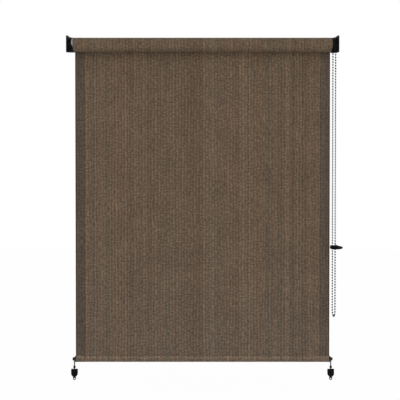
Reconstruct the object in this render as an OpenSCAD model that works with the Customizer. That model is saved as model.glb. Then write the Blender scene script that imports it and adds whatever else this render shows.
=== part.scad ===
// Outdoor roller shade: knitted cloth on a chain-driven tube, with a weighted hem and tie-downs.
// X runs along the roller, +Y into the wall, +Z up. The origin is on the wall, level with the roller axis.

/* [Shade] */
// Width over the outer faces of the two brackets
shade_w = 1190; // [800:10:2400]
// Height from the roller axis down to the axis of the hem bar
drop = 1398; // [700:1:2600]
// Distance from the wall to the roller axis
wall_gap = 55; // [50:1:90]
// Distance from a bracket's outer face to the cloth's edge
side_gap = 27; // [27:0.5:60]

/* [Cloth] */
// Thickness of the knitted cloth between its ribs
cloth_t = 0.7; // [0.5:0.05:0.9]
// Height of the knit's vertical ribs
rib_h = 0.3; // [0.1:0.05:0.5]
// Width of one rib
rib_w = 4; // [2:0.5:6]
// Distance from one rib to the next
rib_pitch = 13.5; // [10:0.5:20]
// Width of the close-knitted band along each side
edge_band_w = 44; // [20:1:80]
// Turns left on the tube when the shade is down
roll_turns = 5; // [2:1:6]
// How far the turns' ends step in and out
turn_step = 0.8; // [0.2:0.1:1.5]

/* [Roller tube] */
// Outside diameter of the tube
tube_d = 54; // [50:0.5:58]
// Wall of the tube
tube_wall = 1.5; // [1:0.1:2.5]
// Length of tube that shows past the cloth at the idler end
tube_show = 7; // [5:0.5:8]

/* [Brackets] */
// Thickness of a bracket's side plate
plate_t = 7.5; // [7:0.25:8]
// Height of the plate above the roller axis at its front
plate_top = 33; // [32:0.5:40]
// Height of the plate above the roller axis at the wall
plate_top_rear = 40; // [36:0.5:48]
// Depth of the plate below the roller axis at its front
plate_bottom = 39; // [36:0.5:48]
// Reach of the plate in front of the roller axis
plate_front = 38; // [35:0.5:48]
// Depth of the plate below the roller axis at the wall
plate_rear = 23; // [21:0.5:30]
// Radius of the plate's lower front corner
plate_corner_r = 8; // [4:0.5:14]
// Width of the rim round the outer face
rim_w = 4; // [3:0.5:6]
// Depth of the recess in the outer face
recess_t = 3.5; // [2:0.5:4]
// Reach of the wall flange beside the plate
flange_w = 40; // [36:1:60]
// Thickness of the wall flange
flange_t = 4; // [3:0.5:6]
// Radius of a wall screw hole
screw_hole_r = 2.75; // [2:0.05:3.5]
// Height of the screw holes above and below the roller axis
screw_hole_z = 15; // [10:0.5:16]
// Wall of the lip that runs round the tube's idler end
lip_wall = 2.5; // [2:0.25:3]
// Height of the lip's edge above the roller axis beside the plate
lip_rise = 6; // [0:0.5:6]
// Depth of the lip's edge below the roller axis at its free end
lip_drop = 18; // [8:0.5:22]

/* [Idler] */
// Radius of the spring pin
pin_r = 5; // [4:0.5:6]
// Length of pin that sits in the bracket's socket
pin_seat = 5.5; // [4:0.5:6]
// Travel of the pin when it is pressed in
pin_travel = 10; // [9:0.5:11]
// Radius of the idler spring's wire
idler_wire_r = 0.6; // [0.4:0.05:0.7]

/* [Chain drive] */
// Distance between bead centres along the chain
bead_pitch = 12; // [11.5:0.1:12.5]
// Radius of a bead
bead_r = 3.6; // [2.8:0.1:3.7]
// Radius of the chain's cord
chain_cord_r = 0.5; // [0.4:0.05:1.1]
// Pockets round the sprocket
pockets = 12; // [10:2:12]
// Bead pitches in each straight strand of the chain
strand_pitches = 95; // [40:1:170]
// Sideways offset of each strand from the sprocket's plane
strand_offset = 1.5; // [1:0.25:1.75]
// Radius of the fixed core that the sprocket turns on
core_r = 9; // [8:0.5:9.5]
// Wall of the chain guard
guard_wall = 2.4; // [1.6:0.2:3]
// Depth of the guard's front edge below the roller axis
guard_front = 42; // [38:0.5:48]
// Depth of the guard's rear edge below the roller axis
guard_rear = 30; // [29:0.5:40]
// Radius of the brake spring's wire
brake_wire_r = 0.9; // [0.6:0.05:1]

/* [Chain guide] */
// Height of the guide above the bottom of the chain loop
guide_rise = 309; // [120:1:400]
// Height of the guide itself
guide_h = 15.6; // [14:0.2:24]
// Wall of the guide
guide_wall = 4; // [3:0.25:5]
// Radius of a screw hole in the guide
guide_hole_r = 1.8; // [1.5:0.1:2.2]
// Distance between the guide's screw holes
guide_hole_pitch = 11; // [9:0.5:13]

/* [Hem] */
// Height of the hem bar's oval section
bar_h = 25; // [18:0.5:28]
// Depth of the hem bar's oval section
bar_d = 10; // [8:0.5:11]
// Wall of the hem bar
bar_wall = 1.4; // [1:0.1:2]
// Height of the hem's top seam above the hem bar's axis
seam_rise = 16.5; // [14:0.5:24]
// Distance of the hem bar's axis behind the cloth's front face
hem_back = 4.7; // [4.5:0.1:5.5]

/* [Tie-downs] */
// Radius of the peg on an end cap
peg_r = 4; // [3:0.25:4.5]
// Length of the peg between its flange and its head
peg_l = 8.4; // [6:0.1:10]
// Radius of the elastic cord
elastic_r = 2.5; // [2:0.1:2.6]
// Length from the peg's axis down to the top of the clip
clip_drop = 45.5; // [42:0.5:80]
// Width of the clip
clip_w = 30; // [24:0.5:31]
// Height of the clip
clip_h = 40; // [36:0.5:50]
// Thickness of the clip at its middle
clip_t = 10; // [8:0.5:11]
// Radius of the bail's wire
bail_wire_r = 1.8; // [1.2:0.1:2]
// Length of the bail's straight legs
bail_leg = 7; // [6:0.5:14]

/* [Fits] */
// Radial clearance of a running fit
run_gap = 0.05; // [0.02:0.01:0.09]
// Clearance between a moving piece and its neighbour
move_gap = 0.3; // [0.25:0.05:0.4]
// Clearance between a bead and what guides it
bead_gap = 0.6; // [0.5:0.05:0.8]
// Clearance of a piece pushed into another
push_gap = 0.1; // [0.05:0.05:0.2]

/* [Hidden] */
$fn = 48;

// Cuts reach this far past the faces they open
over = 1;

axis_y = -wall_gap;
half_w = shade_w / 2;
cloth_half = half_w - side_gap;
inner_face = half_w - plate_t;
web_face = half_w - recess_t;

tube_r = tube_d / 2;
tube_in = tube_r - tube_wall;
roll_in = tube_r + push_gap;
roll_r = roll_in + roll_turns * cloth_t + rib_h;
sheet_y = axis_y + roll_r + move_gap;
sheet_t = cloth_t + rib_h;

// Idler end, along X from the bracket's socket towards the middle
flange_cap_t = 3;
tube_left = -cloth_half - tube_show;
plug_face = tube_left - flange_cap_t;
socket_wall = 4;
socket_boss_r = pin_r + socket_wall;
lip_in = tube_r + 1;
lip_end = -cloth_half - 1.5;
lip_knee = plug_face + 1;
socket_face = plug_face - pin_travel + over;
pin_tip = socket_face - pin_seat;
pin_collar_t = 4;
pin_collar_r = pin_r + 1.7;
pin_wall = 10;
collar_face = plug_face + pin_wall + move_gap;
spring_face = collar_face + pin_collar_t + move_gap;
spring_l = 31;
plug_end = spring_face + spring_l + move_gap;
plug_end_t = 4;
chamber_r = pin_collar_r + move_gap;
plug_hub_r = chamber_r + 5;
pin_tail_r = pin_r - 2;
pin_tail_l = 13;

// Drive end, along X from the tube towards the bracket
tube_right = cloth_half + 1;
drive_cap_t = 2;
drive_face = tube_right + drive_cap_t;
guard_gap = 1;
guard_left = drive_face + guard_gap;
pitch_r = pockets * bead_pitch / (2 * PI);
sprocket_w = 9;
sprocket_r = pitch_r + 0.5;
core_flange_t = 2.2;
core_flange_r = core_r + 6;
chain_x = inner_face - core_flange_t - move_gap - sprocket_w / 2;
drive_plug_l = 40;
drive_bearing = 13;
drive_end = drive_face - drive_plug_l;
sleeve_r = core_r + 3.5;
sleeve_l = 15;
key_w = 4;
key_h = 2;
brake_r = core_r + move_gap + brake_wire_r;
screw_r = 2.9;
screw_head_r = 5;
screw_head_t = 3;
screw_l = 21;
guard_room = 1.3;
guard_in = pitch_r + bead_r + guard_room;
guard_out = guard_in + guard_wall;
guard_sleeve_gap = 4;
outlet_room = 0.9;
outlet_r = bead_r + outlet_room;

// The chain: down from the sprocket, through the guard, round the bottom and up again
lead_pitches = 3;
lead_z = -lead_pitches * bead_pitch;
loop_z = lead_z - strand_pitches * bead_pitch;
rear_x = chain_x - strand_offset;
front_x = chain_x + strand_offset;
step_a = 360 / pockets;

// Chain guide
guide_z = loop_z - pitch_r - bead_r + guide_rise;
guide_nose = 12;
guide_arm_reach = 14;
foot_l = 35;
foot_h = 15;
foot_taper = 12;
foot_drop = 6;
guide_left = rear_x - guide_nose;
guide_arm_x = front_x + guide_arm_reach;
guide_right = guide_arm_x + guide_wall;
guide_setback = 2;
guide_body_y = pitch_r - bead_r - guide_setback;
guide_plate_t = 3;
eye_wall = 2.2;
eye_in = bead_r + bead_gap;
eye_out = eye_in + eye_wall;
eye_mouth = 0.8 * bead_r;
guide_hole_in = 6;
guide_hole_x = guide_right + guide_hole_in;

// Hem and tie-downs
hem_y = sheet_y + hem_back;
hem_z = -drop;
bar_r = bar_d / 2;
bar_c = bar_h / 2 - bar_r;
bar_half = cloth_half - 2;
pocket_in = bar_r + push_gap;
pocket_out = pocket_in + sheet_t + cloth_t / 4;
cap_flange_t = 3;
cap_flange_r = pocket_out + 0.8;
cap_plug_l = 22;
cap_face = cloth_half + move_gap;
peg_face = cap_face + cap_flange_t;
head_face = peg_face + peg_l;
head_r = peg_r + 4;
head_l = 4.5;
tie_x = peg_face + peg_l / 2;
loop_r = peg_r + move_gap + elastic_r;
stop_h = 12.5;
stop_r = 5.25;
stop_top = -clip_drop + 3 + stop_h;
cord_seat = 9;
clip_top = hem_z - clip_drop;
lug_half = 3;
lug_h = 7;
bail_drop = clip_h - 4;
bail_z = clip_top - bail_drop;
bail_r = lug_half + move_gap + bail_wire_r;

// Shared shapes

module along_x(x0, x1, r) {
    translate([x0, 0, 0]) rotate([0, 90, 0]) cylinder(h = x1 - x0, r = r);
}

// A profile of [radius, x] points turned about the X axis
module turned_x() {
    rotate([0, 90, 0]) rotate_extrude() children();
}

// A section drawn in Y and Z, drawn out along X
module drawn_x(x0, x1) {
    translate([x0, 0, 0]) rotate([90, 0, 90]) linear_extrude(x1 - x0) children();
}

// An upright oval with its two arc centres at +c and -c
module oval(r, c) {
    translate([0, c]) circle(r);
    translate([0, -c]) circle(r);
    translate([-r, -c]) square([2 * r, 2 * c]);
}

// Height of the cloth's ribs along its width: [x, height] pairs from edge to edge
function rib_line(half) =
    let (
        field = half - edge_band_w,
        count = floor((2 * field - rib_w) / rib_pitch),
        first = -count * rib_pitch / 2,
        lip = rib_w / 4
    )
    concat(
        [[-half, rib_h], [-field, rib_h], [-field + lip, 0]],
        [for (i = [0:count]) let (x = first + i * rib_pitch) each [
            [x - rib_w / 2 + 0.01, 0], [x - lip, rib_h], [x + lip, rib_h], [x + rib_w / 2 - 0.01, 0]
        ]],
        [[field - lip, 0], [field, rib_h], [half, rib_h]]
    );

function backwards(list) = [for (i = [len(list) - 1:-1:0]) list[i]];

// A wire wound about the X axis as one closed skin
module coil(x0, x1, r, wire_r, turns, steps, sides) {
    rings = turns * steps;
    points = [
        for (i = [0:rings], j = [0:sides - 1])
            let (
                a = 360 * i / steps,
                b = 360 * (j + 0.5) / sides,
                x = x0 + wire_r + (x1 - x0 - 2 * wire_r) * i / rings + wire_r * sin(b),
                q = r + wire_r * cos(b)
            )
            [x, q * cos(a), q * sin(a)]
    ];
    skin = [
        for (i = [0:rings - 1], j = [0:sides - 1])
            let (k = (j + 1) % sides)
            [i * sides + j, i * sides + k, (i + 1) * sides + k, (i + 1) * sides + j]
    ];
    first_end = [for (j = [sides - 1:-1:0]) j];
    last_end = [for (j = [0:sides - 1]) rings * sides + j];
    polyhedron(points = points, faces = concat(skin, [first_end, last_end]), convexity = 10);
}

// Brackets

// Outline of a side plate in Y and Z about the roller axis, drawn in by an inset
module plate_outline(inset) {
    corner = max(plate_corner_r - inset, 1);
    front = -plate_front + inset;
    bottom = -plate_bottom + inset;
    back = wall_gap - inset;
    polygon([
        [front, plate_top - inset],
        [back, plate_top_rear - inset],
        [back, -plate_rear + inset],
        [front + corner, bottom],
        [front, bottom + corner]
    ]);
    translate([front + corner, bottom + corner]) circle(corner);
}

// The right-hand bracket without its own middle: plate, recess, wall flange and gussets
module bracket_body(boss_r) {
    gusset_t = 3;
    flange_in = inner_face - flange_w;
    flange_z = -plate_rear;
    difference() {
        union() {
            translate([0, axis_y, 0]) difference() {
                drawn_x(inner_face, half_w) plate_outline(0);
                difference() {
                    drawn_x(web_face, half_w + over) plate_outline(rim_w);
                    along_x(web_face - over, half_w, boss_r);
                }
            }
            translate([flange_in, -flange_t, flange_z])
                cube([flange_w + over, flange_t, plate_top_rear - flange_z]);
            for (z = [flange_z, plate_top_rear - gusset_t])
                translate([0, 0, z]) linear_extrude(gusset_t) polygon([
                    [inner_face + over, -flange_t + over],
                    [inner_face - flange_w / 2, -flange_t + over],
                    [inner_face - flange_w / 2, -flange_t],
                    [inner_face, -flange_t - flange_w / 2],
                    [inner_face + over, -flange_t - flange_w / 2]
                ]);
        }
        for (z = [-screw_hole_z, screw_hole_z])
            translate([flange_in + flange_w / 2, over, z])
                rotate([90, 0, 0]) cylinder(h = flange_t + 2 * over, r = screw_hole_r);
    }
}

// Lip round the tube's idler end, open above and sloping down to its free end
module idler_lip() {
    lip_out = lip_in + lip_wall;
    difference() {
        along_x(-inner_face - over, lip_end, lip_out);
        along_x(-inner_face, lip_end + over, lip_in);
        translate([0, 2 * lip_out, 0]) rotate([90, 0, 0]) linear_extrude(4 * lip_out) polygon([
            [-half_w, lip_rise],
            [lip_knee, lip_rise],
            [lip_end + over, -lip_drop],
            [lip_end + over, 2 * lip_out],
            [-half_w, 2 * lip_out]
        ]);
    }
}

module left_bracket() {
    color([0.07, 0.07, 0.08]) difference() {
        union() {
            mirror([1, 0, 0]) bracket_body(socket_boss_r);
            translate([0, axis_y, 0]) {
                along_x(-inner_face - over, socket_face, socket_boss_r);
                idler_lip();
            }
        }
        translate([0, axis_y, 0]) along_x(pin_tip - over, socket_face + over, pin_r + run_gap);
    }
}

module right_bracket() {
    boss_r = screw_head_r + 8;
    color([0.07, 0.07, 0.08]) difference() {
        bracket_body(boss_r);
        translate([0, axis_y, 0]) {
            along_x(inner_face - over, half_w, screw_r + push_gap);
            along_x(web_face, half_w + over, screw_head_r + 2);
        }
    }
}

// Chain drive

// Section of the guard in Y and Z: round over the sprocket, straight down to a sloping floor
module guard_outline(r, floor_t) {
    circle(r);
    polygon([[-r, 0], [-r, floor_t - guard_front], [r, floor_t - guard_rear], [r, 0]]);
}

module chain_guard() {
    color([0.08, 0.08, 0.09]) translate([0, axis_y, 0]) difference() {
        drawn_x(guard_left, inner_face) guard_outline(guard_out, 0);
        drawn_x(guard_left + guard_wall, inner_face + over) guard_outline(guard_in, guard_wall);
        along_x(guard_left - over, guard_left + guard_wall + over, sleeve_r + guard_sleeve_gap);
        translate([rear_x, pitch_r, -guard_front]) cylinder(h = guard_front, r = outlet_r);
        translate([front_x, -pitch_r, -guard_front - over]) cylinder(h = guard_front, r = outlet_r);
    }
}

module clutch_core() {
    color([0.75, 0.75, 0.73]) translate([0, axis_y, 0]) difference() {
        union() {
            along_x(drive_end + 3, inner_face, core_r);
            along_x(inner_face - core_flange_t, inner_face, core_flange_r);
        }
        along_x(web_face - screw_l - 3, inner_face + over, screw_r + run_gap);
    }
}

module clutch_screw() {
    color([0.6, 0.6, 0.62]) translate([0, axis_y, 0]) difference() {
        union() {
            along_x(web_face - screw_l, web_face + over, screw_r);
            along_x(web_face, web_face + screw_head_t, screw_head_r);
        }
        translate([web_face + screw_head_t - 1.6, 0, 0]) {
            for (a = [0, 90])
                rotate([a, 0, 0]) translate([0, -0.6, -3]) cube([1.6 + over, 1.2, 6]);
        }
    }
}

module brake_spring() {
    x0 = drive_end + drive_bearing + move_gap;
    x1 = drive_face - sleeve_l - move_gap;
    color([0.5, 0.5, 0.52]) translate([0, axis_y, 0]) coil(x0, x1, brake_r, brake_wire_r, 5, 18, 4);
}

// Keys on the sprocket's sleeve, or with a clearance the slots that take them
module drive_keys(gap) {
    for (a = [0:90:270])
        rotate([a, 0, 0])
            translate([drive_face - sleeve_l - gap, -key_w / 2 - gap, 0])
                cube([sleeve_l + 2 * gap, key_w + 2 * gap, sleeve_r + key_h + gap]);
}

module chain_sprocket() {
    groove = chain_cord_r + 0.4;
    groove_floor = pitch_r * cos(step_a / 2) - chain_cord_r - move_gap;
    hub_end = inner_face - core_flange_t - move_gap;
    color([0.12, 0.12, 0.13]) translate([0, axis_y, 0]) difference() {
        union() {
            along_x(chain_x - sprocket_w / 2, chain_x + sprocket_w / 2, sprocket_r);
            along_x(drive_face - sleeve_l, hub_end, sleeve_r);
            drive_keys(0);
        }
        along_x(drive_face - sleeve_l - over, hub_end + over, core_r + run_gap);
        difference() {
            along_x(chain_x - groove, chain_x + groove, sprocket_r + over);
            along_x(chain_x - groove - over, chain_x + groove + over, groove_floor);
        }
        for (i = [0:pockets - 1])
            rotate([i * step_a, 0, 0]) translate([chain_x, pitch_r, 0]) sphere(bead_r + move_gap);
    }
}

module drive_plug() {
    fin_t = 3;
    barrel_r = sleeve_r + key_h + move_gap + 2.5;
    color([0.2, 0.2, 0.21]) translate([0, axis_y, 0]) difference() {
        union() {
            along_x(drive_end, drive_face, barrel_r);
            along_x(tube_right, drive_face, tube_r);
            intersection() {
                along_x(drive_end, drive_face, tube_in - push_gap);
                for (a = [0:45:135])
                    rotate([a, 0, 0])
                        translate([drive_end, -fin_t / 2, -tube_r])
                            cube([drive_plug_l, fin_t, 2 * tube_r]);
            }
        }
        along_x(drive_end - over, drive_face + over, core_r + run_gap);
        along_x(drive_end + drive_bearing, drive_face + over, sleeve_r + push_gap);
        translate([over, 0, 0]) drive_keys(push_gap + over);
    }
}

// Bead centres: over the sprocket from rear to front, and down to the guard's outlets
function wrap_bead(i) = [chain_x, pitch_r * cos(i * step_a), pitch_r * sin(i * step_a)];
function lead_bead(i, x, side) = [
    chain_x + (x - chain_x) * i / lead_pitches, side * pitch_r, -i * bead_pitch
];
// Bead centres round the bottom loop, from the front strand to the rear one
function loop_bead(i) =
    let (a = 180 + i * step_a, share = i * step_a / 180)
    [front_x + (rear_x - front_x) * share, pitch_r * cos(a), loop_z + pitch_r * sin(a)];

module chain_link(p, q) {
    d = q - p;
    l = norm(d);
    translate(p) rotate([0, acos(d.z / l), atan2(d.y, d.x)]) cylinder(h = l, r = chain_cord_r);
}

module chain_run(beads) {
    for (i = [0:len(beads) - 2])
        chain_link(beads[i], beads[i + 1]);
    for (p = beads)
        translate(p) sphere(bead_r);
}

// A straight strand as one turned profile, hung from its top bead's centre
module chain_strand() {
    rotate_extrude() intersection() {
        union() {
            translate([-chain_cord_r, -strand_pitches * bead_pitch])
                square([2 * chain_cord_r, strand_pitches * bead_pitch]);
            for (i = [1:strand_pitches - 1])
                translate([0, -i * bead_pitch]) circle(bead_r);
        }
        translate([0, -strand_pitches * bead_pitch - bead_r])
            square([2 * bead_r, strand_pitches * bead_pitch + 2 * bead_r]);
    }
}

module bead_chain() {
    half = pockets / 2;
    over_sprocket = concat(
        [for (i = [lead_pitches:-1:1]) lead_bead(i, rear_x, 1)],
        [for (i = [0:half]) wrap_bead(i)],
        [for (i = [1:lead_pitches]) lead_bead(i, front_x, -1)]
    );
    color([0.05, 0.05, 0.06]) translate([0, axis_y, 0]) {
        chain_run(over_sprocket);
        translate([rear_x, pitch_r, lead_z]) chain_strand();
        translate([front_x, -pitch_r, lead_z]) chain_strand();
        chain_run([for (i = [0:half]) loop_bead(i)]);
    }
}

// Chain guide: a frame with a snap-in eye for each strand, on an arm from the wall

// Front view of the guide's frame, with rounded corners at its left
module guide_front() {
    corner = 3;
    r = guide_h / 2;
    for (z = [corner - r, r - corner])
        translate([guide_left + corner, z]) circle(corner);
    translate([guide_left, corner - r]) square([guide_right - guide_left, guide_h - 2 * corner]);
    translate([guide_left + corner, -r]) square([guide_right - guide_left - corner, guide_h]);
}

module guide_plan() {
    difference() {
        translate([guide_left, -guide_body_y])
            square([guide_right - guide_left, 2 * guide_body_y]);
        translate([guide_left + guide_wall, -guide_body_y + guide_wall])
            square([guide_arm_x - guide_left - guide_wall, 2 * (guide_body_y - guide_wall)]);
    }
    translate([guide_arm_x, -guide_body_y]) square([guide_wall, guide_body_y + wall_gap]);
    translate([rear_x, pitch_r]) circle(eye_out);
    translate([front_x, -pitch_r]) circle(eye_out);
}

// Foot of the guide's arm: a plate on the wall, drawn in to a narrow end at its right
module guide_foot() {
    r = foot_h / 2;
    translate([guide_arm_x, wall_gap, -foot_drop]) rotate([90, 0, 0]) linear_extrude(guide_plate_t) polygon([
        [0, -r],
        [foot_l - foot_taper, -r],
        [foot_l, -r / 2],
        [foot_l, r / 2],
        [foot_l - foot_taper, r],
        [0, r]
    ]);
}

module chain_guide() {
    h = guide_h + 2 * over;
    color([0.06, 0.06, 0.07]) translate([0, axis_y, guide_z]) difference() {
        union() {
            intersection() {
                translate([0, 0, -h / 2]) linear_extrude(h) guide_plan();
                translate([0, wall_gap, 0]) rotate([90, 0, 0]) linear_extrude(3 * wall_gap) guide_front();
            }
            guide_foot();
        }
        for (eye = [[rear_x, 1], [front_x, -1]]) {
            translate([eye[0], eye[1] * pitch_r, -h / 2]) cylinder(h = h, r = eye_in);
            translate([eye[0] - eye_out - over, eye[1] * (pitch_r + eye_mouth), -h / 2])
                mirror([0, eye[1] < 0 ? 1 : 0, 0]) cube([2 * (eye_out + over), eye_out, h]);
        }
        for (i = [0, 1])
            translate([guide_hole_x + i * guide_hole_pitch, wall_gap + over, -foot_drop])
                rotate([90, 0, 0]) cylinder(h = guide_plate_t + 2 * over, r = guide_hole_r);
    }
}

// Roller

module roller_tube() {
    color([0.75, 0.76, 0.77]) translate([0, axis_y, 0]) difference() {
        along_x(tube_left, tube_right, tube_r);
        along_x(tube_left - over, tube_right + over, tube_in);
    }
}

// The turns that stay on the tube, as one solid with stepped ends and a ribbed outer face
module fabric_roll() {
    function end_x(k) = cloth_half - turn_step * ((roll_turns - 1 - k) % 3);
    function turn_r(k) = roll_in + k * cloth_t;
    right_end = [for (k = [0:roll_turns - 1]) each [[turn_r(k), end_x(k)], [turn_r(k + 1), end_x(k)]]];
    left_end = [for (p = right_end) [p[0], -p[1]]];
    face = [for (p = rib_line(cloth_half)) [turn_r(roll_turns) + p[1], p[0]]];
    color([0.39, 0.33, 0.27]) translate([0, axis_y, 0])
        turned_x() polygon(concat(left_end, face, backwards(right_end)));
}

module idler_plug() {
    fin_t = 3;
    end = plug_end + plug_end_t;
    color([0.07, 0.07, 0.08]) translate([0, axis_y, 0]) difference() {
        union() {
            along_x(plug_face, tube_left, tube_r);
            along_x(plug_face, end, plug_hub_r);
            intersection() {
                along_x(plug_face, end, tube_in - push_gap);
                for (a = [0:45:135])
                    rotate([a, 0, 0])
                        translate([plug_face, -fin_t / 2, -tube_r])
                            cube([end - plug_face, fin_t, 2 * tube_r]);
            }
        }
        along_x(plug_face - over, plug_end, pin_r + run_gap);
        along_x(plug_face + pin_wall, plug_end, chamber_r);
    }
}

module idler_pin() {
    nose = 1.5;
    color([0.09, 0.09, 0.1]) translate([0, axis_y, 0]) {
        translate([pin_tip, 0, 0]) rotate([0, 90, 0]) cylinder(h = nose, r1 = pin_r - nose, r2 = pin_r);
        along_x(pin_tip + nose, collar_face + over, pin_r);
        along_x(collar_face, collar_face + pin_collar_t, pin_collar_r);
        along_x(collar_face + over, collar_face + pin_collar_t + pin_tail_l, pin_tail_r);
    }
}

module idler_spring() {
    r = (pin_tail_r + chamber_r) / 2;
    color([0.6, 0.6, 0.62]) translate([0, axis_y, 0])
        coil(spring_face, spring_face + spring_l, r, idler_wire_r, 7, 14, 6);
}

// Cloth

module shade_cloth() {
    face = [for (p = rib_line(cloth_half)) [p[0], sheet_y + rib_h - p[1]]];
    back = [[cloth_half, sheet_y + sheet_t], [-cloth_half, sheet_y + sheet_t]];
    bottom = hem_z + seam_rise + move_gap;
    color([0.39, 0.33, 0.27]) translate([0, 0, bottom])
        linear_extrude(-bottom) polygon(concat(face, back));
}

module hem_pocket() {
    seam = sheet_y - hem_y;
    color([0.42, 0.36, 0.30]) translate([0, hem_y, hem_z]) drawn_x(-cloth_half, cloth_half)
        difference() {
            union() {
                oval(pocket_out, bar_c);
                polygon([
                    [-pocket_out, 0],
                    [pocket_out, 0],
                    [pocket_out, bar_c],
                    [seam + sheet_t + cloth_t, seam_rise],
                    [seam, seam_rise],
                    [-pocket_out, bar_c]
                ]);
            }
            oval(pocket_in, bar_c);
        }
}

module hem_bar() {
    color([0.72, 0.73, 0.74]) translate([0, hem_y, hem_z]) drawn_x(-bar_half, bar_half)
        difference() {
            oval(bar_r, bar_c);
            oval(bar_r - bar_wall, bar_c);
        }
}

// Hem end cap: a plug in the bar, a flange over the pocket's end and a headed peg
module end_cap() {
    color([0.06, 0.06, 0.07]) translate([0, hem_y, hem_z]) {
        drawn_x(cap_face - cap_plug_l, cap_face + over) oval(bar_r - bar_wall - push_gap, bar_c);
        drawn_x(cap_face, peg_face) oval(cap_flange_r, bar_c);
        along_x(peg_face - over, head_face + over, peg_r);
        turned_x() polygon([
            [0, head_face],
            [head_r - 1, head_face],
            [head_r, head_face + 1],
            [head_r, head_face + 2],
            [head_r / 2, head_face + head_l - 1],
            [0, head_face + head_l]
        ]);
    }
}

module left_end_cap() { mirror([1, 0, 0]) end_cap(); }
module right_end_cap() { end_cap(); }

// Tie-downs

// Elastic cord: a loop round the peg and a stretch down into the clip
module elastic_cord() {
    color([0.05, 0.05, 0.06]) translate([tie_x, hem_y, hem_z]) {
        rotate([0, 90, 0]) rotate_extrude() translate([loop_r, 0]) circle(elastic_r);
        translate([0, 0, -clip_drop - cord_seat + move_gap])
            cylinder(h = clip_drop + cord_seat - move_gap - loop_r, r = elastic_r);
    }
}

module cord_stop() {
    color([0.05, 0.05, 0.06]) translate([tie_x, hem_y, hem_z + stop_top - stop_h / 2])
        difference() {
            intersection() {
                sphere(stop_h / 2);
                cylinder(h = stop_h, r = stop_r, center = true);
            }
            cylinder(h = stop_h + over, r = elastic_r + push_gap, center = true);
        }
}

// Front view of the clip, with its top edge on z = 0
module clip_front() {
    half = clip_w / 2;
    shoulder = clip_h - lug_h;
    right = [
        [half - 0.8, 0],
        [half - 0.2, -1.5],
        [half, -0.45 * shoulder],
        [half - 0.5, -0.7 * shoulder],
        [half - 1.5, -0.8 * shoulder],
        [half - 4, -0.92 * shoulder],
        [lug_half + 4.5, -shoulder + 0.5],
        [lug_half, -shoulder],
        [lug_half, -clip_h]
    ];
    polygon(concat(right, [for (p = backwards(right)) [-p[0], p[1]]]));
}

module tie_clip() {
    edge_t = clip_t / 2;
    bulge = (clip_t - edge_t) / 2;
    lens_r = (clip_w * clip_w / 4 + bulge * bulge) / (2 * bulge);
    color([0.05, 0.05, 0.06]) translate([tie_x, hem_y, clip_top]) difference() {
        intersection() {
            rotate([90, 0, 0]) linear_extrude(2 * clip_t, center = true) clip_front();
            translate([0, lens_r - clip_t / 2, -clip_h - over])
                cylinder(h = clip_h + 2 * over, r = lens_r);
            translate([0, clip_t / 2 - lens_r, -clip_h - over])
                cylinder(h = clip_h + 2 * over, r = lens_r);
        }
        translate([0, 0, -cord_seat]) cylinder(h = cord_seat + over, r = elastic_r + push_gap);
        translate([0, 0, -bail_drop]) along_x(-clip_w, clip_w, bail_wire_r + run_gap);
    }
}

// Wire bail: a round bow on two legs, with ends turned in through the clip's lug
module tie_bail() {
    pin_end = 0.8;
    color([0.08, 0.08, 0.09]) translate([tie_x, hem_y, bail_z]) {
        translate([0, 0, -bail_leg]) rotate([90, 0, 0])
            rotate_extrude(angle = 180, start = 180) translate([bail_r, 0]) circle(bail_wire_r);
        for (s = [-1, 1]) {
            translate([s * bail_r, 0, -bail_leg]) cylinder(h = bail_leg, r = bail_wire_r);
            translate([s * bail_r, 0, 0]) sphere(bail_wire_r);
        }
        along_x(-bail_r, -pin_end, bail_wire_r);
        along_x(pin_end, bail_r, bail_wire_r);
    }
}

module left_elastic_cord() { mirror([1, 0, 0]) elastic_cord(); }
module right_elastic_cord() { elastic_cord(); }
module left_cord_stop() { mirror([1, 0, 0]) cord_stop(); }
module right_cord_stop() { cord_stop(); }
module left_clip() { mirror([1, 0, 0]) tie_clip(); }
module right_clip() { tie_clip(); }
module left_bail() { mirror([1, 0, 0]) tie_bail(); }
module right_bail() { tie_bail(); }

left_bracket();
right_bracket();
chain_guard();
clutch_core();
clutch_screw();
brake_spring();
chain_sprocket();
drive_plug();
roller_tube();
fabric_roll();
idler_plug();
idler_pin();
idler_spring();
bead_chain();
chain_guide();
shade_cloth();
hem_pocket();
hem_bar();
left_end_cap();
right_end_cap();
left_elastic_cord();
right_elastic_cord();
left_cord_stop();
right_cord_stop();
left_clip();
right_clip();
left_bail();
right_bail();
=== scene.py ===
"""Outdoor roller shade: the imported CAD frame, dressed with its cloth, chain, cords and finishes.

Metres throughout. X runs along the roller, +Y into the wall, +Z up.
"""
import math

import bpy
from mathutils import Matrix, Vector, noise


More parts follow.
